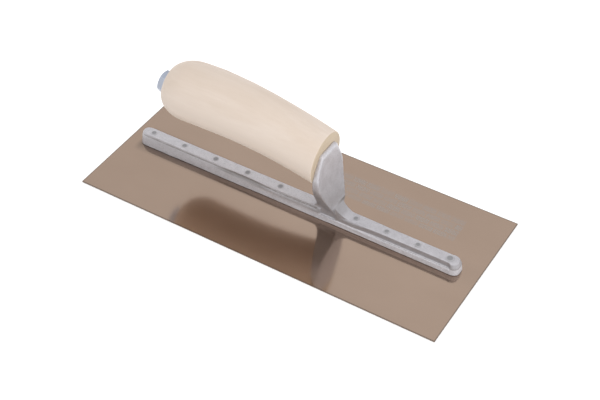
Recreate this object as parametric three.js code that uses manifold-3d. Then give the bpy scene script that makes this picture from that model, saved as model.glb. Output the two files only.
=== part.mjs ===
// Steel finishing trowel.
// A flat golden steel blade is riveted under a cast aluminium mounting: a long bar with a post at
// its front half. The post carries a curved wooden handle, drawn up tight by one long hex bolt that
// enters the butt, runs through the handle and screws into a boss on the back of the post.
// Millimetres. The origin is the centre of the blade's underside, +X points to the toe, +Z up.
import * as THREE from 'three';
import { mergeVertices } from 'three/addons/utils/BufferGeometryUtils.js';
import Module from 'manifold-3d';

const wasm = await Module();
wasm.setup();

// ---------------------------------------------------------------- driving dimensions
// Heights are measured from the blade's top face, except where a name says otherwise.
const BLADE = { length: 279.4, width: 120.65, thickness: 0.7 };

const BAR = {
  rearEnd: -130.3,
  toeEnd: 127,
  height: 9.1,
  rearCorner: 5.5, // corner radii seen from above
  toeCorner: 4.4,
  taperFrom: -60, // behind this the rear half-widths hold, and in front of taperTo the front ones
  taperTo: 40,
  levels: [ // half-widths at each height, and how far both ends draw in there
    { z: 0, rear: 6.7, front: 5.8, rearInset: 0, toeInset: 0 },
    { z: 5.5, rear: 4.9, front: 5.5, rearInset: 0.2, toeInset: 0.6 },
    { z: 8.3, rear: 4, front: 4.7, rearInset: 0.9, toeInset: 1.8 },
    { z: 9.1, rear: 3.7, front: 4.1, rearInset: 1.8, toeInset: 2.8 },
  ],
};

// Hollows along each side of the bar, behind the post: how far out and how high the axis of each
// lies, the x of its start, middle and end, and the radius of its round at those three.
const COVES = [
  { side: 4.55, height: 7.7, x: [-126, -95, -62], radius: [0.5, 0.6, 0.6] },
  { side: 6.1, height: 7.9, x: [-68, -40, -10], radius: [1.7, 2.5, 1.6] },
  { side: 4.9, height: 8, x: [-14, 5, 20.5], radius: [0.7, 0.9, 0.95] },
];

// The step down from the rail to the flange, from the post's foot to the toe. Seen from above the
// rail is narrow beside the post, wide at the foot of the fillet and narrower again further on.
const LEDGE = {
  noseEnd: 23, // the rear rail's rounded end
  noseLength: 4,
  post: { half: 3.9, to: 34 },
  foot: { half: 5, from: 37, to: 50 },
  rail: { half: 4, from: 76 },
  toeEnd: 123,
  toeRound: 4,
  postHeight: 4.2, // height of the flange at the post, and at the toe
  toeHeight: 4.6,
};

const RIVET = {
  radius: 1.8,
  toeRadius: 2.5, // the rivet nearest the toe is a thicker one
  clearance: 0.2,
  topHeight: 8.75, // just below the rail's top face
  flare: 1.2, // how far the countersunk end spreads under the blade
  rearFirst: -120.5,
  rearPitch: 27.1,
  rearCount: 5,
  frontFirst: 48.2,
  frontPitch: 23.5,
  frontCount: 4,
};

const POST = {
  rear: 24.1, // rear plane, square to the bolt, where the bolt's axis crosses it
  face: [ // front face in side view, from its top down to the crease
    { x: 28.2, z: 61.5 },
    { x: 28.2, z: 50 },
    { x: 29.8, z: 34 },
    { x: 32.9, z: 22 },
    { x: 34.6, z: 16.4 },
  ],
  filletBend: 38.3, // where the front fillet bends most, and where it runs out on the bar
  filletEnd: 45,
  rearFilletStart: 15.5,
  rearFilletTop: 17,
  foot: { half: 4.2, z: 8.5 }, // half-widths of the front face seen from the toe
  flank: { half: 9, z: 14 }, // pulls the lower flank into its curve
  widest: { half: 16.2, z: 42, run: 11 }, // run: how far below it the flank is upright
  shoulder: { half: 10.5, z: 59 },
  crown: { half: 5, z: 61.5 },
};
// Width at the back as a share of the front's: from the foot up to where it is full.
const POST_SIDES = { footFactor: 0.55, footZ: 10, fullFactor: 0.93, fullZ: 36, leastHalf: 3.9 };
const POST_FILLET = { startHalf: 5.3, endHalf: 4 }; // half-widths of the front fillet
// The dished front face: its flatness is its depth as a share of its half-width. It is deepest at
// deepestZ and fades to its least a span above or below that.
const DISH = { rim: 1.2, bottom: 15.4, flatness: 0.1, least: 0.02, deepestZ: 31, span: 27 };
const BOSS = { radius: 9, rearEnd: -4 };

const HANDLE = {
  tip: -102.7, // where the butt's dome would close if it were not spot-faced
  front: 23.8, // its end is square to the bolt too
  crownX: -62,
  crownHeight: 64.5, // height of the curved centre line at its crown
  bendRadius: 300,
  crownRadius: 21.25,
  taper: 0.0324, // loss of radius per millimetre towards the front
  domeLength: 25,
  domeFullness: 2.4,
  frontRound: 2,
};

const BOLT = {
  seat: { x: -97.9, z: 61.85 }, // centre of the head's seat on the butt
  frontHeight: 50, // height of its axis at the post's rear plane
  acrossFlats: 14.3,
  headHeight: 8.2,
  headChamfer: 0.9,
  shankRadius: 4.76,
  tipX: 13,
  holeClearance: 0.4,
  threadClearance: 0.12,
};
const BOSS_CLEARANCE = 0.4;

const HANDLE_SEGMENTS = 44;
const ROUND_SEGMENTS = 24;
const OVERRUN = 5; // how far cutters reach past the faces they cut

// ---------------------------------------------------------------- solids and placing
function solidOf(geometry) {
  const bare = geometry.index ? geometry.toNonIndexed() : geometry.clone();
  bare.deleteAttribute('normal');
  bare.deleteAttribute('uv');
  const merged = mergeVertices(bare, 1e-4);
  const corners = merged.index.array;
  const kept = [];
  for (let i = 0; i < corners.length; i += 3) {
    const [a, b, c] = [corners[i], corners[i + 1], corners[i + 2]];
    if (a !== b && b !== c && c !== a) kept.push(a, b, c);
  }
  const vertProperties = new Float32Array(merged.attributes.position.array);
  return new wasm.Manifold(new wasm.Mesh({ numProp: 3, vertProperties, triVerts: new Uint32Array(kept) }));
}

function geometryOf(solid) {
  const mesh = solid.getMesh();
  const geometry = new THREE.BufferGeometry();
  geometry.setAttribute('position', new THREE.BufferAttribute(mesh.vertProperties, 3));
  geometry.setIndex(new THREE.BufferAttribute(mesh.triVerts, 1));
  geometry.computeVertexNormals();
  return geometry;
}

function mapVertices(geometry, change) {
  const position = geometry.attributes.position;
  const point = new THREE.Vector3();
  for (let i = 0; i < position.count; i += 1) {
    point.fromBufferAttribute(position, i);
    change(point);
    position.setXYZ(i, point.x, point.y, point.z);
  }
  return geometry;
}

// An outline drawn in (x, z), given a thickness centred on the middle plane.
function sideSlab(shape, thickness, curveSegments = 10) {
  const slab = new THREE.ExtrudeGeometry(shape, { depth: thickness, bevelEnabled: false, curveSegments });
  return slab.rotateX(Math.PI / 2).translate(0, thickness / 2, 0);
}

// An outline drawn in (y, z), drawn out along +X from one x to another.
function crossSlab(shape, fromX, toX, steps = 1, curveSegments = 12) {
  const options = { depth: toX - fromX, steps, bevelEnabled: false, curveSegments };
  const basis = new THREE.Matrix4().makeBasis(
    new THREE.Vector3(0, 1, 0),
    new THREE.Vector3(0, 0, 1),
    new THREE.Vector3(1, 0, 0),
  );
  return new THREE.ExtrudeGeometry(shape, options).applyMatrix4(basis).translate(fromX, 0, 0);
}

// A body turned about the X axis from a profile of (x, radius) points.
function turned(profile, segments = ROUND_SEGMENTS) {
  const points = profile.map(([x, radius]) => new THREE.Vector2(radius, x));
  return new THREE.LatheGeometry(points, segments).rotateZ(-Math.PI / 2);
}

const boltPitch = Math.atan2(BOLT.seat.z - BOLT.frontHeight, POST.rear - BOLT.seat.x);

// Takes a body built along +X from the origin onto the bolt's axis, x measured from the head's seat.
function ontoBoltAxis(geometry) {
  return geometry.rotateY(boltPitch).translate(BOLT.seat.x, 0, BOLT.seat.z);
}

// A plane square to the bolt's axis, which it crosses at x; the plane's own x at a height.
function squareToBolt(x, z) {
  return x + Math.tan(boltPitch) * (z - BOLT.frontHeight);
}

function alongBolt(x) {
  return (x - BOLT.seat.x) / Math.cos(boltPitch);
}

function boltCylinder(fromX, toX, radius) {
  return solidOf(ontoBoltAxis(turned([
    [alongBolt(fromX), 0],
    [alongBolt(fromX), radius],
    [alongBolt(toX), radius],
    [alongBolt(toX), 0],
  ], 2 * ROUND_SEGMENTS)));
}

// ---------------------------------------------------------------- rivets
function rivetPlaces() {
  const places = [];
  for (let i = 0; i < RIVET.rearCount; i += 1) {
    const x = RIVET.rearFirst + i * RIVET.rearPitch;
    places.push({ name: `rivet_rear_${i + 1}`, x, radius: RIVET.radius });
  }
  for (let i = 0; i < RIVET.frontCount; i += 1) {
    const radius = i === RIVET.frontCount - 1 ? RIVET.toeRadius : RIVET.radius;
    places.push({ name: `rivet_front_${i + 1}`, x: RIVET.frontFirst + i * RIVET.frontPitch, radius });
  }
  return places;
}

// Turned about +Z: a countersunk end flush with the blade's underside, then a plain shank.
function rivetGeometry(radius, growth = 0, top = BLADE.thickness + RIVET.topHeight, bottom = 0) {
  const points = [
    new THREE.Vector2(0, bottom),
    new THREE.Vector2(radius + RIVET.flare + growth, bottom),
    new THREE.Vector2(radius + RIVET.flare + growth, 0.05),
    new THREE.Vector2(radius + growth, BLADE.thickness),
    new THREE.Vector2(radius + growth, top),
    new THREE.Vector2(0, top),
  ];
  return new THREE.LatheGeometry(points, ROUND_SEGMENTS).rotateX(Math.PI / 2);
}

function cutRivetHoles(solid) {
  let result = solid;
  for (const { x, radius } of rivetPlaces()) {
    const hole = rivetGeometry(radius, RIVET.clearance, BLADE.thickness + BAR.height + OVERRUN, -OVERRUN);
    result = result.subtract(solidOf(hole.translate(x, 0, 0)));
  }
  return result;
}

// ---------------------------------------------------------------- blade
function bladeGeometry() {
  const plate = new THREE.BoxGeometry(BLADE.length, BLADE.width, BLADE.thickness);
  plate.translate(0, 0, BLADE.thickness / 2);
  return geometryOf(cutRivetHoles(solidOf(plate)));
}

// ---------------------------------------------------------------- mounting
// The bar's outline from above, at its foot.
function barPlan() {
  const { rearEnd, toeEnd, rearCorner, toeCorner, taperFrom, taperTo } = BAR;
  const { rear, front } = BAR.levels[0];
  const shape = new THREE.Shape();
  shape.absarc(toeEnd - toeCorner, front - toeCorner, toeCorner, 0, Math.PI / 2);
  shape.lineTo(taperTo, front);
  shape.lineTo(taperFrom, rear);
  shape.absarc(rearEnd + rearCorner, rear - rearCorner, rearCorner, Math.PI / 2, Math.PI);
  shape.absarc(rearEnd + rearCorner, rearCorner - rear, rearCorner, Math.PI, 1.5 * Math.PI);
  shape.lineTo(taperFrom, -rear);
  shape.lineTo(taperTo, -front);
  shape.absarc(toeEnd - toeCorner, toeCorner - front, toeCorner, 1.5 * Math.PI, 2 * Math.PI);
  return shape;
}

function barHalfWidth(x, level) {
  const share = THREE.MathUtils.clamp((x - BAR.taperFrom) / (BAR.taperTo - BAR.taperFrom), 0, 1);
  return THREE.MathUtils.lerp(level.rear, level.front, share);
}

// The plan drawn up through the bar's levels, narrowing and drawing in its ends on the way.
function barBlank() {
  const { levels, rearEnd, toeEnd } = BAR;
  const steps = levels.length - 1;
  const options = { depth: steps, steps, bevelEnabled: false, curveSegments: 6 };
  return mapVertices(new THREE.ExtrudeGeometry(barPlan(), options), (point) => {
    const level = levels[Math.round(point.z)];
    point.y *= barHalfWidth(point.x, level) / barHalfWidth(point.x, levels[0]);
    point.x *= 1 - (point.x < 0 ? level.rearInset / -rearEnd : level.toeInset / toeEnd);
    point.z = level.z;
  });
}

function coveCutter({ side, height, x, radius }) {
  const endX = x[2] - radius[2]; // where the rounded end begins
  const radii = new THREE.SplineCurve([
    new THREE.Vector2(x[0], radius[0]),
    new THREE.Vector2(x[1], radius[1]),
    new THREE.Vector2(endX, radius[2]),
  ]);
  const profile = [[x[0], 0], ...radii.getPoints(8).map((point) => [point.x, point.y])];
  for (const angle of [Math.PI / 6, Math.PI / 3]) {
    profile.push([endX + radius[2] * Math.sin(angle), radius[2] * Math.cos(angle)]);
  }
  profile.push([x[2], 0]);
  return solidOf(turned(profile, 20).translate(0, side, height));
}

// Everything above the flange and outside the rail, from the rear rail's nose to the toe.
function ledgeCutter() {
  const { noseEnd, noseLength, post, foot, rail, toeEnd, toeRound, postHeight, toeHeight } = LEDGE;
  const base = BAR.levels[0];
  const shape = new THREE.Shape();
  shape.moveTo(noseEnd, post.half);
  shape.quadraticCurveTo(noseEnd, base.front, noseEnd - noseLength, base.rear);
  shape.lineTo(noseEnd - noseLength, base.rear + OVERRUN);
  shape.lineTo(toeEnd, base.rear + OVERRUN);
  shape.quadraticCurveTo(toeEnd, rail.half, toeEnd - toeRound, rail.half);
  shape.lineTo(rail.from, rail.half);
  shape.quadraticCurveTo((foot.to + rail.from) / 2, rail.half, foot.to, foot.half);
  shape.lineTo(foot.from, foot.half);
  shape.lineTo(post.to, post.half);
  const options = { depth: 2 * OVERRUN, bevelEnabled: false, curveSegments: 6 };
  const slope = (toeHeight - postHeight) / (toeEnd - post.to);
  return solidOf(mapVertices(new THREE.ExtrudeGeometry(shape, options), (point) => {
    point.z += postHeight + slope * Math.max(0, point.x - post.to);
  }));
}

function barSolid() {
  let bar = solidOf(barBlank());
  for (const cutter of [...COVES.map(coveCutter), ledgeCutter()]) {
    bar = bar.subtract(cutter).subtract(cutter.mirror([0, 1, 0]));
  }
  return bar;
}

function postFaceCurve() {
  return new THREE.SplineCurve(POST.face.map(({ x, z }) => new THREE.Vector2(x, z)));
}

function faceX(z) {
  const points = postFaceCurve().getPoints(40);
  const below = points.findIndex((point) => point.y < z);
  if (below < 1) return points[below === 0 ? 0 : points.length - 1].x;
  const [upper, lower] = [points[below - 1], points[below]];
  return THREE.MathUtils.mapLinear(z, lower.y, upper.y, lower.x, upper.x);
}

function postSide() {
  const sunk = BAR.height / 2;
  const crease = POST.face[POST.face.length - 1];
  const filletTop = squareToBolt(POST.rear, POST.rearFilletTop);
  const shape = new THREE.Shape();
  shape.moveTo(POST.rearFilletStart, sunk);
  shape.lineTo(POST.rearFilletStart, BAR.height);
  shape.quadraticCurveTo(filletTop - 1, BAR.height, filletTop, POST.rearFilletTop);
  shape.lineTo(squareToBolt(POST.rear, POST.crown.z + 1), POST.crown.z + 1); // just above the spade's top
  shape.lineTo(POST.face[0].x, POST.crown.z + 1);
  for (const point of postFaceCurve().getPoints(16)) shape.lineTo(point.x, point.y);
  shape.quadraticCurveTo(POST.filletBend, BAR.height + 1.2, POST.filletEnd, BAR.height);
  shape.lineTo(POST.filletEnd, sunk);
  return shape;
}

// Half of the front face's outline: a spade, widest above its middle, with a squarish top.
function spadeEdge(inset) {
  const { foot, flank, widest, shoulder, crown } = POST;
  const half = widest.half - inset;
  const top = crown.z - inset;
  const edge = new THREE.Path();
  edge.moveTo(foot.half - inset, foot.z);
  edge.bezierCurveTo(flank.half - inset, flank.z, half, widest.z - widest.run, half, widest.z);
  edge.quadraticCurveTo(half, widest.z + widest.run / 2, shoulder.half - inset, shoulder.z - inset / 2);
  edge.quadraticCurveTo(shoulder.half - inset, top, crown.half, top);
  return edge.getPoints(9);
}

function spadeOutline() {
  const edge = spadeEdge(0);
  const sunk = BAR.height / 2;
  const shape = new THREE.Shape();
  shape.moveTo(-POST.foot.half, sunk);
  shape.lineTo(POST.foot.half, sunk);
  for (const point of edge) shape.lineTo(point.x, point.y);
  for (const point of edge.reverse()) shape.lineTo(-point.x, point.y);
  return shape;
}

// Where a point on the spade's outline comes at another x. The sides draw in towards the back, most
// at the foot; in front of the crease they are straight.
function postHalfWidth(x, z, faceHalf) {
  const { clamp, lerp } = THREE.MathUtils;
  const creaseX = POST.face[POST.face.length - 1].x;
  if (x > creaseX) {
    return lerp(POST_FILLET.startHalf, POST_FILLET.endHalf, (x - creaseX) / (POST.filletEnd - creaseX));
  }
  const rise = clamp((z - POST_SIDES.footZ) / (POST_SIDES.fullZ - POST_SIDES.footZ), 0, 1);
  const atRear = lerp(POST_SIDES.footFactor, POST_SIDES.fullFactor, Math.sin((rise * Math.PI) / 2));
  const rearX = squareToBolt(POST.rear, z);
  const drawnIn = faceHalf * lerp(atRear, 1, clamp((x - rearX) / (faceX(z) - rearX), 0, 1));
  return Math.max(drawnIn, Math.min(faceHalf, POST_SIDES.leastHalf));
}

// A lens with the spade's outline, turned and then flattened, laid along the post's front face.
function dishCutter() {
  const edge = spadeEdge(DISH.rim).filter((point) => point.y > DISH.bottom);
  const top = edge[edge.length - 1].y;
  const profile = [[DISH.bottom, 0], ...edge.map((point) => [point.y, point.x]), [top, 0]];
  const lens = turned(profile, 32).rotateY(-Math.PI / 2);
  return solidOf(mapVertices(lens, (point) => {
    const away = Math.min(1, Math.abs(point.z - DISH.deepestZ) / DISH.span);
    const flatness = THREE.MathUtils.lerp(DISH.flatness, DISH.least, away ** 2);
    point.x = faceX(point.z) + point.x * flatness;
  }));
}

function postSolid() {
  const creaseX = POST.face[POST.face.length - 1].x;
  const rearX = POST.rearFilletStart - 1;
  const slices = Array.from({ length: 12 }, (_, i) => THREE.MathUtils.lerp(rearX, creaseX, i / 11));
  slices.push(creaseX + 0.5, (creaseX + POST.filletEnd) / 2, POST.filletEnd + 1);
  const side = solidOf(sideSlab(postSide(), 3 * POST.widest.half));
  const front = crossSlab(spadeOutline(), 0, slices.length - 1, slices.length - 1);
  mapVertices(front, (point) => {
    point.x = slices[Math.round(point.x)];
    point.y = Math.sign(point.y) * postHalfWidth(point.x, point.z, Math.abs(point.y));
  });
  return side.intersect(solidOf(front));
}

function mountingGeometry() {
  const boss = boltCylinder(BOSS.rearEnd, POST.rear + 1.2, BOSS.radius);
  const threadRadius = BOLT.shankRadius + BOLT.threadClearance;
  const tapped = boltCylinder(BOSS.rearEnd - OVERRUN, BOLT.tipX + 2, threadRadius);
  const cast = barSolid().add(postSolid()).subtract(dishCutter()).add(boss).subtract(tapped);
  return geometryOf(cutRivetHoles(cast.translate([0, 0, BLADE.thickness])));
}

// ---------------------------------------------------------------- handle
function handleAxisHeight(x) {
  return HANDLE.crownHeight - (x - HANDLE.crownX) ** 2 / (2 * HANDLE.bendRadius);
}

function handleRadius(x) {
  const body = HANDLE.crownRadius - HANDLE.taper * Math.max(0, x - HANDLE.crownX);
  const share = Math.min(1, (x - HANDLE.tip) / HANDLE.domeLength);
  return body * (1 - (1 - share) ** HANDLE.domeFullness) ** (1 / HANDLE.domeFullness);
}

function handleProfile() {
  const profile = [[HANDLE.tip, 0]];
  for (const share of [0.03, 0.09, 0.17, 0.27, 0.38, 0.5, 0.65, 0.8, 1]) {
    const x = HANDLE.tip + share * HANDLE.domeLength;
    profile.push([x, handleRadius(x)]);
  }
  const bodyStart = HANDLE.tip + HANDLE.domeLength;
  const bodyEnd = HANDLE.front - HANDLE.frontRound;
  const bodySteps = 12;
  for (let step = 1; step <= bodySteps; step += 1) {
    const x = THREE.MathUtils.lerp(bodyStart, bodyEnd, step / bodySteps);
    profile.push([x, handleRadius(x)]);
  }
  for (const angle of [Math.PI / 4, Math.PI / 2]) {
    const x = bodyEnd + HANDLE.frontRound * Math.sin(angle);
    profile.push([x, handleRadius(bodyEnd) - HANDLE.frontRound * (1 - Math.cos(angle))]);
  }
  profile.push([HANDLE.front, 0]);
  return profile;
}

// Turned straight, then bent by lifting each cross-section onto the curved centre line. The last
// stretch leans so that its end is square to the bolt.
function handleGeometry() {
  const blank = mapVertices(turned(handleProfile(), HANDLE_SEGMENTS), (point) => {
    const slope = (point.x - HANDLE.crownX) / HANDLE.bendRadius;
    point.z = point.z * Math.hypot(1, slope) + handleAxisHeight(point.x);
    const share = Math.max(0, point.x / HANDLE.front);
    point.x = THREE.MathUtils.lerp(point.x, squareToBolt(point.x, point.z), share);
  });
  const holeRadius = BOLT.shankRadius + BOLT.holeClearance;
  const boltHole = boltCylinder(HANDLE.tip - OVERRUN, BOSS.rearEnd + 1, holeRadius);
  const bossHole = boltCylinder(BOSS.rearEnd - 1, POST.rear + OVERRUN, BOSS.radius + BOSS_CLEARANCE);
  const spotFace = boltCylinder(HANDLE.tip - 2 * OVERRUN, BOLT.seat.x, HANDLE.crownRadius);
  return geometryOf(solidOf(blank).subtract(boltHole).subtract(bossHole).subtract(spotFace));
}

// ---------------------------------------------------------------- handle bolt
// Built along +X from the head's seat, so that the mesh is turned as a whole onto its axis.
function boltGeometry() {
  const cornerRadius = BOLT.acrossFlats / Math.sqrt(3);
  const gap = 0.3; // between the head and the wood it clamps
  const hex = new THREE.CylinderGeometry(cornerRadius, cornerRadius, BOLT.headHeight, 6);
  hex.rotateY(Math.PI / 6).rotateZ(-Math.PI / 2).translate(-BOLT.headHeight / 2 - gap, 0, 0);
  const outer = -BOLT.headHeight - gap;
  const chamfered = turned([
    [outer, 0],
    [outer, BOLT.acrossFlats / 2],
    [outer + BOLT.headChamfer, cornerRadius + 0.6],
    [0, cornerRadius + 0.6],
    [0, 0],
  ], 2 * ROUND_SEGMENTS);
  const shankEnd = alongBolt(BOLT.tipX);
  const shank = turned([
    [-BOLT.headHeight / 2, 0],
    [-BOLT.headHeight / 2, BOLT.shankRadius],
    [shankEnd - 1, BOLT.shankRadius],
    [shankEnd, BOLT.shankRadius - 1],
    [shankEnd, 0],
  ]);
  return geometryOf(solidOf(hex).intersect(solidOf(chamfered)).add(solidOf(shank)));
}

// ---------------------------------------------------------------- assembly
const finishes = {
  blade: { color: 0xa69080, roughness: 0.3, metalness: 1 },
  mounting: { color: 0xbfbbbc, roughness: 0.5, metalness: 0.9 },
  rivet: { color: 0x8e8c8f, roughness: 0.45, metalness: 1 },
  handle: { color: 0xe0d0c2, roughness: 0.65, metalness: 0 },
  bolt: { color: 0xb6bbce, roughness: 0.35, metalness: 1 },
};

function piece(name, geometry, finish) {
  const mesh = new THREE.Mesh(geometry, new THREE.MeshStandardMaterial(finish));
  mesh.name = name;
  return mesh;
}

const trowel = new THREE.Group();
trowel.add(piece('blade', bladeGeometry(), finishes.blade));
trowel.add(piece('mounting', mountingGeometry(), finishes.mounting));

for (const { name, x, radius } of rivetPlaces()) {
  const rivet = piece(name, rivetGeometry(radius), finishes.rivet);
  rivet.position.x = x;
  trowel.add(rivet);
}

const handleGroup = new THREE.Group();
handleGroup.position.z = BLADE.thickness;
handleGroup.add(piece('handle', handleGeometry(), finishes.handle));
const bolt = piece('handle_bolt', boltGeometry(), finishes.bolt);
bolt.position.set(BOLT.seat.x, 0, BOLT.seat.z);
bolt.rotation.y = boltPitch;
handleGroup.add(bolt);
trowel.add(handleGroup);

export default trowel;
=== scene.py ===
"""Looks of a steel finishing trowel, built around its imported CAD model.

Every object is in metres, in the frame of the CAD model: the blade's underside is at z = 0, +X points
to the toe and +Z up. Shapes are worked out in millimetres and then scaled by MM.
"""

import math

import bmesh
import bpy
from mathutils import Matrix, Quaternion, Vector, noise


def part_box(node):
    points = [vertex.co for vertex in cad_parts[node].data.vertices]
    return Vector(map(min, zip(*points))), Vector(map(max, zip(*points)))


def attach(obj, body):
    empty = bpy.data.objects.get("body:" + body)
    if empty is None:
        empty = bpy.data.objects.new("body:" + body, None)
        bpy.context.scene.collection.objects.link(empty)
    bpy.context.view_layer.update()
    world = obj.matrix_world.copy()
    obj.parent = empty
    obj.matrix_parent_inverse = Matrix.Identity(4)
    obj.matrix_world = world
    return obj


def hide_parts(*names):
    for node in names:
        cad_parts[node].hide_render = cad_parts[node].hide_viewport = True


MM = 0.001

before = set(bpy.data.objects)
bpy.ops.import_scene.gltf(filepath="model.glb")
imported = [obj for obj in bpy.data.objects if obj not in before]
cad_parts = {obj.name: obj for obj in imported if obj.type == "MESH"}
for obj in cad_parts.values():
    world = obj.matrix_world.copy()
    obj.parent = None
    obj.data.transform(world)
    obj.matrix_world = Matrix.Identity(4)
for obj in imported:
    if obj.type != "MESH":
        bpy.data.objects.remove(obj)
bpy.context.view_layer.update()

# ---------------------------------------------------------------- driving dimensions, millimetres
CAST = {
    "voxel": 0.34,  # size of the remesh that gives the casting its rounded edges
    "smooth_passes": 2,
    "post_smooth_passes": 180,  # the post is dressed softer than the bar
    "post_smooth_from": 15.0,  # height where that begins, and where it is full
    "post_smooth_full": 40.0,
    "seat_keep": 0.3,  # depth of the post's back that stays flat against the wood
    "seat_fade": 1.3,
    "lump_size": 5.0,  # slow unevenness left by the mould
    "lump_height": 0.07,
    "grain_size": 0.9,  # sandy skin
    "grain_height": 0.035,
}

HANDLE = {
    "tip": -102.7,  # where the butt's dome would close if it were not spot-faced
    "front": 24.15,  # up against the post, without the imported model's gap
    "crown_x": -62.0,
    "bend_radius": 300.0,
    "taper": 0.0324,  # loss of radius per millimetre towards the front
    "dome_length": 25.0,
    "dome_fullness": 2.4,
    "front_round": 1.3,
    "front_round_steps": 8,
    "rings": 150,
    "ring_crowding": 1.6,  # above 1, the rings lie closer together on the butt's dome
    "segments": 144,
    "wave_size": 24.0,  # slow unevenness left by sanding
    "wave_height": 0.12,
    "edge_bevel": 0.5,
}

BOLT = {
    "seat": Vector((-97.9, 0.0, 62.55)),  # centre of the head's seat on the butt
    "front": Vector((24.1, 0.0, 50.7)),  # where its axis meets the back of the post
    "hole_radius": 5.3,
    "boss_rear": -5.0,
    "boss_hole_radius": 9.4,
    "hole_overlap": 1.0,  # how far the bolt's hole runs into the boss's
    "hole_segments": 96,
    "edge_bevel": 0.22,
}
BEHIND_BUTT = 20.0  # how far behind the butt the spot face's cutter starts
PAST_FRONT = 9.0  # how far past the handle's front the boss hole's cutter ends

RIVET = {
    "flare": 1.2,  # how far the countersunk end spreads under the blade
    "spread": 0.25,  # how far the hammered end has filled its hole
    "sink": 0.35,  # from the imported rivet's end up to the rail's top
    "dome": 6.0,  # the end's dome radius, in shank radii
    "rings": 8,
    "segments": 40,
}
BLADE_BEVEL = 0.12

# Heights of the painted shade and light marks on the casting, above the blade's underside.
EDGE_SHADE_HEIGHT = 8.1  # painted shade line under the rear rail's top edges
SCOOP_HEIGHT = 7.6  # middle of the long hollows behind the post
LEDGE_HEIGHT = 5.2  # where the flange in front of the post gives way to the ledge's wall
CREASE_HEIGHT = 16.9  # where the post's face meets its fillet
SCOOP_X = -40.0

# The panel etched on the blade. Its centre is given as shares of the blade's half-length and half-width.
MARK = {
    "centre_x": 0.43,
    "centre_y": 0.56,
    "half_length": 50.0,
    "half_width": 11.0,
    "brick_length": 11.0,
    "brick_height": 5.5,
    "gap": 0.45,
}

FLOOR = {"half": 8000.0, "height": -0.4}

# Places and sizes in metres, power in watts.
SOFTBOX_TARGET = (0.0, 0.0, 0.03)
SOFTBOXES = {
    "toe_softbox": {"place": (1.0, -0.38, 0.26), "size": 0.5, "power": 3.0},
    "near_softbox": {"place": (0.15, -1.2, 0.25), "size": 1.2, "power": 0.5},
}

CAMERA = {
    "lens": 76.28,
    "sensor": 36.0,
    "aim": Vector((1.55, 3.3, 0.7)),
    "distance": 878.5,
    "azimuth": 32.852,
    "elevation": 43.975,
    "roll": -1.058,
}


# ---------------------------------------------------------------- mesh helpers
def box_mm(node):
    """Lowest and highest corner of a CAD node, in millimetres."""
    low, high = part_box(node)
    return low / MM, high / MM


def object_from(name, mesh):
    made = bpy.data.objects.new(name, mesh)
    bpy.context.scene.collection.objects.link(made)
    return made


def mesh_from(name, vertices, faces):
    """A mesh from points in millimetres."""
    mesh = bpy.data.meshes.new(name)
    mesh.from_pydata([Vector(point) * MM for point in vertices], [], faces)
    mesh.validate()
    return mesh


def merged_copy(name, node):
    """A copy of a CAD node's mesh, its split vertices welded and its flat areas made single faces."""
    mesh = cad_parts[node].data.copy()
    mesh.name = name
    mesh.materials.clear()
    shape = bmesh.new()
    shape.from_mesh(mesh)
    bmesh.ops.remove_doubles(shape, verts=shape.verts, dist=0.002 * MM)
    bmesh.ops.dissolve_limit(shape, angle_limit=math.radians(1.0), verts=shape.verts, edges=shape.edges)
    shape.to_mesh(mesh)
    shape.free()
    return object_from(name, mesh)


def bake_modifiers(piece):
    """Puts the result of a piece's modifiers into its mesh."""
    bpy.context.view_layer.update()
    graph = bpy.context.evaluated_depsgraph_get()
    mesh = bpy.data.meshes.new_from_object(piece.evaluated_get(graph))
    piece.modifiers.clear()
    piece.data = mesh


def smooth_with_sharp_edges(piece, degrees):
    piece.data.shade_smooth()
    piece.data.set_sharp_from_angle(angle=math.radians(degrees))


def bevel(piece, width, segments, degrees):
    modifier = piece.modifiers.new("rounded_edges", "BEVEL")
    modifier.width = width * MM
    modifier.segments = segments
    modifier.limit_method = "ANGLE"
    modifier.angle_limit = math.radians(degrees)
    modifier.harden_normals = False
    bake_modifiers(piece)


def turned_mesh(name, profile, segments):
    """A closed body turned about the X axis from (x, radius) points that start and end on the axis."""
    vertices = []
    rings = []
    for x, radius in profile:
        if radius <= 0:
            rings.append([len(vertices)])
            vertices.append((x, 0.0, 0.0))
            continue
        rings.append(list(range(len(vertices), len(vertices) + segments)))
        for step in range(segments):
            angle = 2 * math.pi * step / segments
            vertices.append((x, radius * math.cos(angle), radius * math.sin(angle)))
    faces = []
    for first, second in zip(rings, rings[1:]):
        for step in range(segments):
            after = (step + 1) % segments
            if len(first) == 1:
                faces.append((first[0], second[after], second[step]))
            elif len(second) == 1:
                faces.append((first[step], first[after], second[0]))
            else:
                faces.append((first[step], first[after], second[after], second[step]))
    return mesh_from(name, vertices, faces)


def subtract(piece, cutter):
    modifier = piece.modifiers.new("cut", "BOOLEAN")
    modifier.operation = "DIFFERENCE"
    modifier.solver = "EXACT"
    modifier.object = cutter
    bake_modifiers(piece)
    bpy.data.objects.remove(cutter)


def finish_piece(piece, material, slot, *nodes):
    piece.data.materials.clear()
    piece.data.materials.append(material)
    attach(piece, "root")
    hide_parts(*nodes)


# ---------------------------------------------------------------- node helpers
def add_node(tree, kind, inputs=None, **settings):
    """Adds a node; an input is given a value, or another node's output socket to be linked to."""
    made = tree.nodes.new(kind)
    for key, value in settings.items():
        setattr(made, key, value)
    for key, value in (inputs or {}).items():
        if isinstance(value, bpy.types.NodeSocket):
            tree.links.new(value, made.inputs[key])
        else:
            made.inputs[key].default_value = value
    return made


def math_node(tree, operation, *values):
    return add_node(tree, "ShaderNodeMath", dict(enumerate(values)), operation=operation).outputs[0]


def product(tree, *factors):
    result = factors[0]
    for factor in factors[1:]:
        result = math_node(tree, "MULTIPLY", result, factor)
    return result


def strongest(tree, *shares):
    result = shares[0]
    for share in shares[1:]:
        result = math_node(tree, "MAXIMUM", result, share)
    return result


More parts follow.
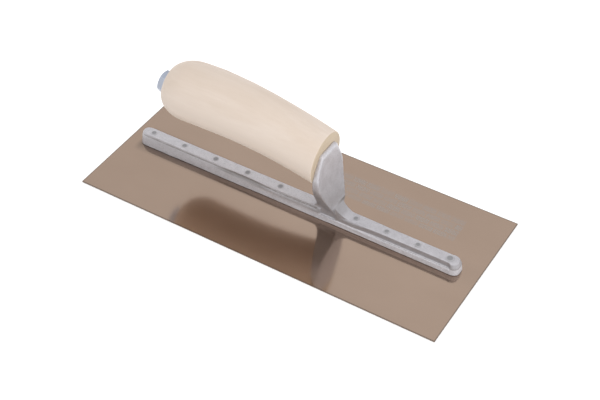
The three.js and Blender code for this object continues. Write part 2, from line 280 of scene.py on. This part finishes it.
def millimetres(tree, stretch=(1.0, 1.0, 1.0)):
    """Position on the object in millimetres, each axis multiplied by its stretch."""
    place = add_node(tree, "ShaderNodeTexCoord").outputs["Object"]
    scale = tuple(factor / MM for factor in stretch)
    return add_node(tree, "ShaderNodeMapping", {"Vector": place, "Scale": scale}).outputs[0]


def axes(tree):
    """The X, Y and Z outputs of the position on the object, in millimetres."""
    return add_node(tree, "ShaderNodeSeparateXYZ", {"Vector": millimetres(tree)}).outputs


def facing(tree, axis):
    """How far the surface faces along an axis, from -1 to 1."""
    normal = add_node(tree, "ShaderNodeNewGeometry").outputs["Normal"]
    return add_node(tree, "ShaderNodeSeparateXYZ", {"Vector": normal}).outputs[axis]


def noise_value(tree, place, size, detail=3.0, roughness=0.55):
    """Noise from 0 to 1 with features of about the given size."""
    inputs = {"Vector": place, "Scale": 1.0 / size, "Detail": detail, "Roughness": roughness}
    return add_node(tree, "ShaderNodeTexNoise", inputs).outputs["Fac"]


def remap(tree, value, low, high, to_low, to_high, smooth=False):
    kind = "SMOOTHSTEP" if smooth else "LINEAR"
    inputs = {"Value": value, "From Min": low, "From Max": high, "To Min": to_low, "To Max": to_high}
    return add_node(tree, "ShaderNodeMapRange", inputs, interpolation_type=kind).outputs[0]


def band(tree, value, centre, flat_half, half):
    """1 within flat_half of the centre, falling smoothly to 0 at half."""
    away = math_node(tree, "ABSOLUTE", math_node(tree, "SUBTRACT", value, centre))
    return remap(tree, away, flat_half, half, 1.0, 0.0, smooth=True)


def openness(tree, reach):
    """1 on open surfaces, falling towards 0 in corners narrower than the reach in millimetres."""
    inputs = {"Distance": reach * MM}
    kind = "ShaderNodeAmbientOcclusion"
    return add_node(tree, kind, inputs, samples=12, only_local=True).outputs["AO"]


def mix_colours(tree, share, first, second):
    made = add_node(tree, "ShaderNodeMix", data_type="RGBA")
    for socket, value in ((0, share), (6, first), (7, second)):
        if isinstance(value, bpy.types.NodeSocket):
            tree.links.new(value, made.inputs[socket])
        else:
            made.inputs[socket].default_value = value
    return made.outputs[2]


def bump(tree, height, depth, normal=None):
    """A bump whose height input of 1 stands the given depth proud, in millimetres."""
    inputs = {"Height": height, "Distance": depth * MM, "Strength": 1.0}
    if normal is not None:
        inputs["Normal"] = normal
    return add_node(tree, "ShaderNodeBump", inputs).outputs[0]


def new_material(name, build):
    """A material whose principled surface gets the inputs that build(tree) returns."""
    material = bpy.data.materials.new(name)
    material.use_nodes = True
    tree = material.node_tree
    tree.nodes.clear()
    surface = add_node(tree, "ShaderNodeBsdfPrincipled", build(tree))
    add_node(tree, "ShaderNodeOutputMaterial", {"Surface": surface.outputs[0]})
    return material


# ---------------------------------------------------------------- materials
def etched_mark(tree):
    """Share of frosting: a plain running-bond panel etched on the far side of the toe's half."""
    high = box_mm("blade")[1]
    place = axes(tree)
    fade = 0.3
    from_centre_x = math_node(tree, "SUBTRACT", place["X"], high.x * MARK["centre_x"])
    from_centre_y = math_node(tree, "SUBTRACT", place["Y"], high.y * MARK["centre_y"])
    along = math_node(tree, "ABSOLUTE", from_centre_x)
    across = math_node(tree, "ABSOLUTE", from_centre_y)
    inside_x = remap(tree, along, MARK["half_length"] - fade, MARK["half_length"], 1.0, 0.0)
    inside_y = remap(tree, across, MARK["half_width"] - fade, MARK["half_width"], 1.0, 0.0)
    inputs = {
        "Vector": millimetres(tree),
        "Color1": (1.0, 1.0, 1.0, 1.0),
        "Color2": (0.55, 0.55, 0.55, 1.0),
        "Mortar": (0.0, 0.0, 0.0, 1.0),
        "Scale": 1.0,
        "Mortar Size": MARK["gap"],
        "Mortar Smooth": 0.2,
        "Brick Width": MARK["brick_length"],
        "Row Height": MARK["brick_height"],
    }
    bricks = add_node(tree, "ShaderNodeTexBrick", inputs).outputs["Color"]
    speckle = remap(tree, noise_value(tree, millimetres(tree), 0.8), 0.4, 0.62, 0.1, 1.0)
    return product(tree, inside_x, inside_y, bricks, speckle)


def golden_steel(tree):
    """Heat-coloured stainless steel, ground along its length: a blurred mirror."""
    lines = noise_value(tree, millimetres(tree, (0.02, 1.0, 1.0)), 0.35, 2.0)
    cloud = noise_value(tree, millimetres(tree, (0.5, 1.0, 1.0)), 40.0, 3.0)
    mark = etched_mark(tree)
    tone = mix_colours(tree, cloud, (0.355, 0.262, 0.205, 1.0), (0.415, 0.311, 0.246, 1.0))
    frosted = mix_colours(tree, product(tree, mark, 0.85), tone, (0.345, 0.325, 0.315, 1.0))
    # Painted shadow and dark reflection on the blade beside the bar's foot.
    shaded_beside_bar = mix_colours(tree, bar_foot_shade(tree), frosted, (0.12, 0.10, 0.09, 1.0))
    edged = mix_colours(tree, blade_rim(tree), shaded_beside_bar, (0.12, 0.09, 0.075, 1.0))
    ground = remap(tree, lines, 0.3, 0.7, 0.09, 0.13)
    cambered = bump(tree, blade_camber(tree), 1.0)
    return {
        "Base Color": edged,
        "Metallic": 1.0,
        "Roughness": math_node(tree, "ADD", ground, product(tree, mark, 0.2)),
        "Normal": bump(tree, lines, 0.0006, cambered),
    }


def blade_rim(tree):
    """Share of the dark line just inside the blade's edges."""
    high = box_mm("blade")[1]
    inset = 0.35
    place = axes(tree)
    along = math_node(tree, "SUBTRACT", math_node(tree, "ABSOLUTE", place["X"]), high.x - inset)
    across = math_node(tree, "SUBTRACT", math_node(tree, "ABSOLUTE", place["Y"]), high.y - inset)
    return remap(tree, strongest(tree, along, across), -inset, 0.0, 0.0, 0.7)


def bar_foot_shade(tree):
    """Share of painted shadow and dark reflection on the blade along the foot of the bar, strongest at
    its rear half.
    """
    place = axes(tree)
    beside = remap(tree, math_node(tree, "ABSOLUTE", place["Y"]), 6.0, 14.0, 0.62, 0.0)
    rearward = remap(tree, place["X"], -95.0, 10.0, 1.0, 0.1)
    on_bar = remap(tree, place["X"], -132.0, -128.0, 0.0, 1.0)
    return product(tree, beside, rearward, on_bar)


def blade_camber(tree):
    """Height of the gentle upward spring of the blade's near side, in millimetres."""
    start = 14.0
    rise = 0.00052
    near = product(tree, axes(tree)["Y"], -1.0)
    past = strongest(tree, math_node(tree, "SUBTRACT", near, start), 0.0)
    return product(tree, math_node(tree, "POWER", past, 2.0), rise)


def rail_edge_shade(tree):
    """Share of the painted shade line in the groove just under the rear rail's top edges, broken up by
    noise.
    """
    place = axes(tree)
    line = band(tree, place["Z"], EDGE_SHADE_HEIGHT, 0.1, 0.55)
    deepening = remap(tree, place["X"], -128.0, 10.0, 0.65, 1.0)
    behind_nose = remap(tree, place["X"], 19.0, 22.0, 1.0, 0.0)
    broken = remap(tree, noise_value(tree, millimetres(tree), 3.0), 0.35, 0.6, 0.6, 1.0)
    return product(tree, line, deepening, behind_nose, broken)


def scoop_shade(tree):
    """Share of painted shade, with some grime, in the long hollows behind the post."""
    place = axes(tree)
    line = band(tree, place["Z"], SCOOP_HEIGHT, 0.9, 1.7)
    along = band(tree, place["X"], SCOOP_X, 12.0, 30.0)
    return product(tree, line, along, 0.7)


def crease_shade(tree):
    """Share of the dark line where the post's face meets its fillet, strongest on the far side."""
    place = axes(tree)
    line = band(tree, place["Z"], CREASE_HEIGHT, 0.2, 1.1)
    front = remap(tree, place["X"], 32.5, 33.5, 0.0, 1.0)
    across = remap(tree, place["Y"], -4.0, 5.0, 0.25, 0.9)
    return product(tree, line, front, across)


def flange_share(tree):
    """Share of the flange below the ledge, from the post to the toe, which gets painted light and a less
    metallic finish.
    """
    place = axes(tree)
    forward = remap(tree, place["X"], -30.0, 30.0, 0.0, 1.0)
    low = remap(tree, place["Z"], LEDGE_HEIGHT + 0.1, LEDGE_HEIGHT + 0.7, 1.0, 0.0)
    return product(tree, forward, low)


def bar_flank_shade(tree):
    """Share of painted shade on the bar's flanks: a little at the rear, and more on the ledge's wall at
    the front.
    """
    place = axes(tree)
    in_front = remap(tree, place["X"], -60.0, 20.0, 0.0, 1.0)
    above_ledge = remap(tree, place["Z"], LEDGE_HEIGHT, LEDGE_HEIGHT + 0.6, 0.0, 0.36)
    front_share = product(tree, in_front, above_ledge)
    rear_share = remap(tree, in_front, 0.0, 1.0, 0.1, 0.0)
    share = math_node(tree, "ADD", front_share, rear_share)
    sideways = remap(tree, facing(tree, "Z"), 0.3, 0.75, 1.0, 0.0)
    return product(tree, share, sideways)


def cast_shade(tree):
    """Share of painted shade: corners (with some grime) and flanks of the bar, the line under its rear
    rail's edges, and the post's undercut flanks and lower face.
    """
    height = axes(tree)["Z"]
    upwards = facing(tree, "Z")
    on_bar = remap(tree, height, 11.0, 14.0, 1.0, 0.0)
    # Painted shade, with some grime, in the bar's corners, from ambient occlusion.
    corner = remap(tree, openness(tree, 2.2), 0.45, 0.88, 0.9, 0.0)
    flank = bar_flank_shade(tree)
    bar_share = product(tree, on_bar, strongest(tree, corner, flank))
    on_post = remap(tree, height, 9.0, 12.0, 0.0, 1.0)
    # Painted shade and dark reflection of the blade on the post's downward-facing flanks.
    undercut = remap(tree, upwards, -0.35, -0.05, 0.5, 0.0)
    # Painted shade: the post's face darker towards its bottom.
    low_face = remap(tree, height, 20.0, 48.0, 0.38, 0.0)
    post_share = product(tree, on_post, strongest(tree, undercut, low_face))
    lines = (rail_edge_shade(tree), crease_shade(tree), scoop_shade(tree))
    return strongest(tree, bar_share, post_share, *lines)


def cast_aluminium(tree):
    """Tumbled sand casting: pale and mottled, with painted shade and some grime in its corners, and
    painted light on its post, rear rail and flange.
    """
    place = millimetres(tree)
    mottle = remap(tree, noise_value(tree, place, 5.0, 4.0), 0.3, 0.7, 0.0, 1.0)
    grain = noise_value(tree, place, 0.6, 3.0)
    pits = noise_value(tree, place, 1.3, 2.0)
    plain = mix_colours(tree, mottle, (0.505, 0.49, 0.522, 1.0), (0.605, 0.59, 0.628, 1.0))
    # Painted light: a paler copy of the casting's colours.
    painted_light_tone = mix_colours(tree, mottle, (0.665, 0.65, 0.685, 1.0), (0.765, 0.75, 0.792, 1.0))
    along = axes(tree)["X"]
    # Painted light on the rear rail, where the handle would shade it.
    rearward = remap(tree, along, -130.0, -50.0, 0.3, 0.85)
    behind_post = remap(tree, along, 12.0, 22.0, 1.0, 0.0)
    flange = flange_share(tree)
    # Painted light: the post paler towards its top.
    post_top_light = remap(tree, axes(tree)["Z"], 30.0, 60.0, 0.0, 0.6)
    rear_rail_light = product(tree, rearward, behind_post)
    painted_light_share = strongest(tree, rear_rail_light, product(tree, flange, 0.75), post_top_light)
    base = mix_colours(tree, painted_light_share, plain, painted_light_tone)
    grain_share = remap(tree, grain, 0.45, 0.7, 0.0, 0.45)
    speckled = mix_colours(tree, grain_share, base, (0.36, 0.355, 0.37, 1.0))
    pit_share = remap(tree, pits, 0.6, 0.72, 0.0, 0.35)
    pitted = mix_colours(tree, pit_share, speckled, (0.29, 0.285, 0.295, 1.0))
    return {
        # The dark colour of the painted shade in corners, flanks and lines.
        "Base Color": mix_colours(tree, cast_shade(tree), pitted, (0.18, 0.16, 0.145, 1.0)),
        "Metallic": remap(tree, flange, 0.0, 1.0, 0.45, 0.1),
        "Roughness": remap(tree, mottle, 0.0, 1.0, 0.38, 0.48),
        "Normal": bump(tree, pits, 0.05, bump(tree, grain, 0.03)),
    }


def rivet_steel(tree):
    """Plain steel hammered into the casting, which has smeared over its edge."""
    place = millimetres(tree)
    blotch = noise_value(tree, place, 1.5)
    steel = mix_colours(tree, blotch, (0.24, 0.235, 0.245, 1.0), (0.36, 0.355, 0.37, 1.0))
    bare_share = remap(tree, facing(tree, "Z"), 0.988, 0.9945, 0.0, 1.0)
    return {
        "Base Color": mix_colours(tree, bare_share, (0.55, 0.54, 0.555, 1.0), steel),
        "Metallic": 0.6,
        "Roughness": remap(tree, blotch, 0.3, 0.7, 0.45, 0.6),
        "Normal": bump(tree, noise_value(tree, place, 0.6), 0.05),
    }


def pale_wood(tree):
    """Sanded pale hardwood: faint long grain, short flecks, painted shade on its sides, and tan end
    grain at the front.
    """
    grain = noise_value(tree, millimetres(tree, (0.045, 1.0, 1.0)), 2.2, 4.0, 0.6)
    stripe = noise_value(tree, millimetres(tree, (0.25, 1.0, 1.0)), 14.0, 2.0)
    fleck = noise_value(tree, millimetres(tree, (0.12, 1.0, 1.0)), 0.5, 2.0)
    grain_share = remap(tree, grain, 0.3, 0.7, 0.0, 1.0)
    long_grain = mix_colours(tree, grain_share, (0.715, 0.605, 0.52, 1.0), (0.755, 0.65, 0.57, 1.0))
    stripe_share = remap(tree, stripe, 0.35, 0.65, 0.0, 0.5)
    striped = mix_colours(tree, stripe_share, long_grain, (0.67, 0.55, 0.45, 1.0))
    fleck_share = remap(tree, fleck, 0.64, 0.74, 0.0, 0.2)
    flecked = mix_colours(tree, fleck_share, striped, (0.56, 0.43, 0.33, 1.0))
    upright = math_node(tree, "ABSOLUTE", facing(tree, "Z"))
    # Painted shade: the wood's sides darker than its top and underside.
    side_share = remap(tree, upright, 0.0, 0.8, 0.7, 0.0)
    side_shaded = mix_colours(tree, side_share, flecked, (0.60, 0.51, 0.44, 1.0))
    end_share = remap(tree, facing(tree, "X"), 0.6, 0.8, 0.0, 1.0)
    pores = noise_value(tree, millimetres(tree), 0.5, 2.0)
    end_grain = mix_colours(tree, pores, (0.49, 0.39, 0.28, 1.0), (0.60, 0.495, 0.37, 1.0))
    return {
        "Base Color": mix_colours(tree, end_share, side_shaded, end_grain),
        "Roughness": remap(tree, grain, 0.3, 0.7, 0.5, 0.62),
        "Specular IOR Level": 0.55,
        "Normal": bump(tree, grain, 0.03),
    }


def zinc_plate(tree):
    """Bluish zinc plate; each flat of the hexagon has its own tone, as under uneven light."""
    cloud = noise_value(tree, millimetres(tree), 3.0)
    normal = add_node(tree, "ShaderNodeNewGeometry").outputs["Normal"]
    flat_tone = remap(tree, noise_value(tree, normal, 0.7, 1.0), 0.3, 0.7, 0.0, 1.0)
    tone = mix_colours(tree, flat_tone, (0.36, 0.40, 0.49, 1.0), (0.60, 0.64, 0.74, 1.0))
    cloud_share = remap(tree, cloud, 0.35, 0.65, 0.0, 0.4)
    return {
        "Base Color": mix_colours(tree, cloud_share, tone, (0.50, 0.54, 0.63, 1.0)),
        "Metallic": 0.7,
        "Roughness": remap(tree, cloud, 0.3, 0.7, 0.28, 0.4),
        "Normal": bump(tree, noise_value(tree, millimetres(tree), 0.8), 0.01),
    }


def floor_white(tree):
    """A plain white sweep that glows a little, so that the blade throws hardly any shadow."""
    soft = noise_value(tree, millimetres(tree), 400.0)
    return {
        "Base Color": mix_colours(tree, soft, (0.86, 0.86, 0.86, 1.0), (0.9, 0.9, 0.9, 1.0)),
        "Emission Color": (1.0, 1.0, 1.0, 1.0),
        "Emission Strength": 0.35,
        "Roughness": 0.9,
        "Specular IOR Level": 0.1,
    }


# ---------------------------------------------------------------- pieces
def make_blade(material):
    blade = merged_copy("blade_plate", "blade")
    bevel(blade, BLADE_BEVEL, 2, 60.0)
    smooth_with_sharp_edges(blade, 20.0)
    finish_piece(blade, material, "golden_steel", "blade")


def roughen(mesh, size, height, seed):
    """Moves each vertex along its normal by noise."""
    offset = Vector((seed, seed * 2, seed * 3))
    moves = []
    for vertex in mesh.vertices:
        moves.append(vertex.normal * noise.noise(vertex.co / (size * MM) + offset) * height * MM)
    for vertex, move in zip(mesh.vertices, moves):
        vertex.co += move


def share_between(value, low, high):
    return min(1.0, max(0.0, (value - low) / (high - low)))


def make_mounting(material):
    """The casting: remeshed finely and smoothed, so that its edges and fillets are rounded."""
    casting = merged_copy("mounting_casting", "mounting")
    remesh = casting.modifiers.new("even_mesh", "REMESH")
    remesh.mode = "VOXEL"
    remesh.voxel_size = CAST["voxel"] * MM
    bake_modifiers(casting)
    post = casting.vertex_groups.new(name="post")
    axis = (BOLT["front"] - BOLT["seat"]).normalized()
    for vertex in casting.data.vertices:
        point = vertex.co / MM
        rise = share_between(point.z, CAST["post_smooth_from"], CAST["post_smooth_full"])
        depth = (point - BOLT["front"]).dot(axis)
        off_seat = share_between(depth, CAST["seat_keep"], CAST["seat_fade"])
        post.add([vertex.index], rise * off_seat, "REPLACE")
    for passes, group in ((CAST["smooth_passes"], ""), (CAST["post_smooth_passes"], post.name)):
        soften = casting.modifiers.new("rounded_edges", "SMOOTH")
        soften.factor = 0.5
        soften.iterations = passes
        soften.vertex_group = group
    bake_modifiers(casting)
    roughen(casting.data, CAST["lump_size"], CAST["lump_height"], 1.7)
    roughen(casting.data, CAST["grain_size"], CAST["grain_height"], 5.3)
    casting.data.shade_smooth()
    finish_piece(casting, material, "cast_aluminium", "mounting")


def handle_axis_height(x, crown_height):
    return crown_height - (x - HANDLE["crown_x"]) ** 2 / (2 * HANDLE["bend_radius"])


def handle_radius(x, crown_radius):
    body = crown_radius - HANDLE["taper"] * max(0.0, x - HANDLE["crown_x"])
    share = min(1.0, max(0.0, (x - HANDLE["tip"]) / HANDLE["dome_length"]))
    fullness = HANDLE["dome_fullness"]
    return body * (1 - (1 - share) ** fullness) ** (1 / fullness)


def handle_profile(crown_radius):
    """(x, radius) points, close together on the butt's dome and round the front edge."""
    rounding = HANDLE["front_round"]
    body_end = HANDLE["front"] - rounding
    profile = [(HANDLE["tip"], 0.0)]
    for step in range(1, HANDLE["rings"] + 1):
        share = (step / HANDLE["rings"]) ** HANDLE["ring_crowding"]
        x = HANDLE["tip"] + (body_end - HANDLE["tip"]) * share
        profile.append((x, handle_radius(x, crown_radius)))
    steps = HANDLE["front_round_steps"]
    for step in range(1, steps + 1):
        angle = math.pi / 2 * step / steps
        radius = handle_radius(body_end, crown_radius) - rounding * (1 - math.cos(angle))
        profile.append((body_end + rounding * math.sin(angle), radius))
    profile.append((HANDLE["front"], 0.0))
    return profile


def bolt_cutter(name, from_x, to_x, radius):
    """A cylinder round the bolt's axis between two places along X."""
    axis = BOLT["front"] - BOLT["seat"]
    pitch = Vector((1.0, 0.0, 0.0)).rotation_difference(axis).to_matrix().to_4x4()
    scale = axis.length / axis.x
    start = (from_x - BOLT["seat"].x) * scale
    end = (to_x - BOLT["seat"].x) * scale
    profile = [(start, 0.0), (start, radius), (end, radius), (end, 0.0)]
    mesh = turned_mesh(name, profile, BOLT["hole_segments"])
    mesh.transform(Matrix.Translation(BOLT["seat"] * MM) @ pitch)
    return object_from(name, mesh)


def make_handle(material):
    low, high = box_mm("handle")
    crown_radius = (high.y - low.y) / 2
    crown_height = high.z - crown_radius
    lean = (BOLT["seat"].z - BOLT["front"].z) / (BOLT["front"].x - BOLT["seat"].x)
    mesh = turned_mesh("handle_wood", handle_profile(crown_radius), HANDLE["segments"])
    for vertex in mesh.vertices:
        x, y, z = vertex.co / MM
        slope = (x - HANDLE["crown_x"]) / HANDLE["bend_radius"]
        height = z * math.hypot(1.0, slope) + handle_axis_height(x, crown_height)
        share = max(0.0, x / HANDLE["front"])
        vertex.co = Vector((x + lean * (height - BOLT["front"].z) * share, y, height)) * MM
    roughen(mesh, HANDLE["wave_size"], HANDLE["wave_height"], 3.1)
    handle = object_from("handle_wood", mesh)
    start = HANDLE["tip"] - BEHIND_BUTT
    subtract(handle, bolt_cutter("spot_face", start, BOLT["seat"].x, crown_radius))
    hole_end = BOLT["boss_rear"] + BOLT["hole_overlap"]
    subtract(handle, bolt_cutter("bolt_hole", HANDLE["tip"], hole_end, BOLT["hole_radius"]))
    end = HANDLE["front"] + PAST_FRONT
    subtract(handle, bolt_cutter("boss_hole", BOLT["boss_rear"], end, BOLT["boss_hole_radius"]))
    bevel(handle, HANDLE["edge_bevel"], 3, 35.0)
    smooth_with_sharp_edges(handle, 40.0)
    finish_piece(handle, material, "pale_wood", "handle")


def make_bolt(material):
    bolt = merged_copy("bolt_zinc", "handle_bolt")
    bevel(bolt, BOLT["edge_bevel"], 3, 20.0)
    smooth_with_sharp_edges(bolt, 25.0)
    finish_piece(bolt, material, "zinc_plated_steel", "handle_bolt")


def make_rivet(node, material):
    """A rivet hammered out until it fills its hole, with a faintly domed end level with the rail."""
    low, high = box_mm(node)
    centre = (low + high) / 2
    flush_radius = (high.x - low.x) / 2
    plate = box_mm("blade")[1].z
    shank_radius = flush_radius - RIVET["flare"] + RIVET["spread"]
    dome_radius = shank_radius * RIVET["dome"]
    rim_height = high.z + RIVET["sink"]
    profile = [(low.z, 0.0), (low.z, flush_radius), (plate, shank_radius)]
    for step in range(RIVET["rings"] + 1):
        radius = shank_radius * (1 - step / RIVET["rings"])
        dome = (shank_radius ** 2 - radius ** 2) / (2 * dome_radius)
        profile.append((rim_height + dome, radius))
    mesh = turned_mesh(node + "_steel", profile, RIVET["segments"])
    upright = Matrix.Rotation(-math.pi / 2, 4, "Y")
    mesh.transform(Matrix.Translation(Vector((centre.x, centre.y, 0.0)) * MM) @ upright)
    rivet = object_from(node + "_steel", mesh)
    smooth_with_sharp_edges(rivet, 30.0)
    finish_piece(rivet, material, "rivet_steel", node)


# ---------------------------------------------------------------- stage, light and camera
def make_floor():
    half = FLOOR["half"]
    corners = [(-half, -half), (half, -half), (half, half), (-half, half)]
    vertices = [(x, y, FLOOR["height"]) for x, y in corners]
    floor = object_from("floor", mesh_from("floor", vertices, [(0, 1, 2, 3)]))
    floor.data.materials.append(new_material("floor_white", floor_white))


def make_world():
    """A white studio that lights most from overhead, and looks plain white to the camera."""
    world = bpy.data.worlds.new("studio")
    world.use_nodes = True
    tree = world.node_tree
    direction = add_node(tree, "ShaderNodeTexCoord").outputs["Generated"]
    height = add_node(tree, "ShaderNodeSeparateXYZ", {"Vector": direction}).outputs["Z"]
    background = tree.nodes["Background"]
    background.inputs["Color"].default_value = (1.0, 1.0, 1.0, 1.0)
    light = remap(tree, height, 0.0, 1.0, 0.56, 1.2)
    seen = add_node(tree, "ShaderNodeLightPath").outputs["Is Camera Ray"]
    tree.links.new(strongest(tree, light, seen), background.inputs["Strength"])
    bpy.context.scene.world = world


def area_light(name, place, size, power):
    """A disk of light, left out of mirror reflections so that the blade never shows its outline."""
    light = bpy.data.lights.new(name, "AREA")
    light.shape = "DISK"
    light.size = size
    light.energy = power
    made = bpy.data.objects.new(name, light)
    bpy.context.scene.collection.objects.link(made)
    made.visible_glossy = False
    made.location = place
    made.rotation_mode = "QUATERNION"
    made.rotation_quaternion = (Vector(SOFTBOX_TARGET) - Vector(place)).to_track_quat("-Z", "Y")


def make_camera():
    data = bpy.data.cameras.new("camera")
    data.lens = CAMERA["lens"]
    data.sensor_width = CAMERA["sensor"]
    data.clip_start = 0.01
    camera = bpy.data.objects.new("camera", data)
    bpy.context.scene.collection.objects.link(camera)
    azimuth = math.radians(CAMERA["azimuth"])
    elevation = math.radians(CAMERA["elevation"])
    flat = math.cos(elevation)
    back = Vector((math.sin(azimuth) * flat, -math.cos(azimuth) * flat, math.sin(elevation)))
    camera.location = (CAMERA["aim"] + back * CAMERA["distance"]) * MM
    camera.rotation_mode = "QUATERNION"
    roll = Quaternion((0.0, 0.0, 1.0), math.radians(CAMERA["roll"]))
    camera.rotation_quaternion = (-back).to_track_quat("-Z", "Y") @ roll
    bpy.context.scene.camera = camera


def make_studio():
    make_floor()
    make_world()
    for name, softbox in SOFTBOXES.items():
        area_light(name, **softbox)
    make_camera()
    view = bpy.context.scene.view_settings
    view.view_transform = "Standard"
    view.look = "None"


# ---------------------------------------------------------------- the trowel
make_blade(new_material("golden_steel_ground", golden_steel))
make_mounting(new_material("cast_aluminium_tumbled", cast_aluminium))
make_handle(new_material("pale_wood_sanded", pale_wood))
make_bolt(new_material("zinc_plate", zinc_plate))
rivet_material = new_material("rivet_steel_ground", rivet_steel)
for node in sorted(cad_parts):
    if node.startswith("rivet_"):
        make_rivet(node, rivet_material)
make_studio()
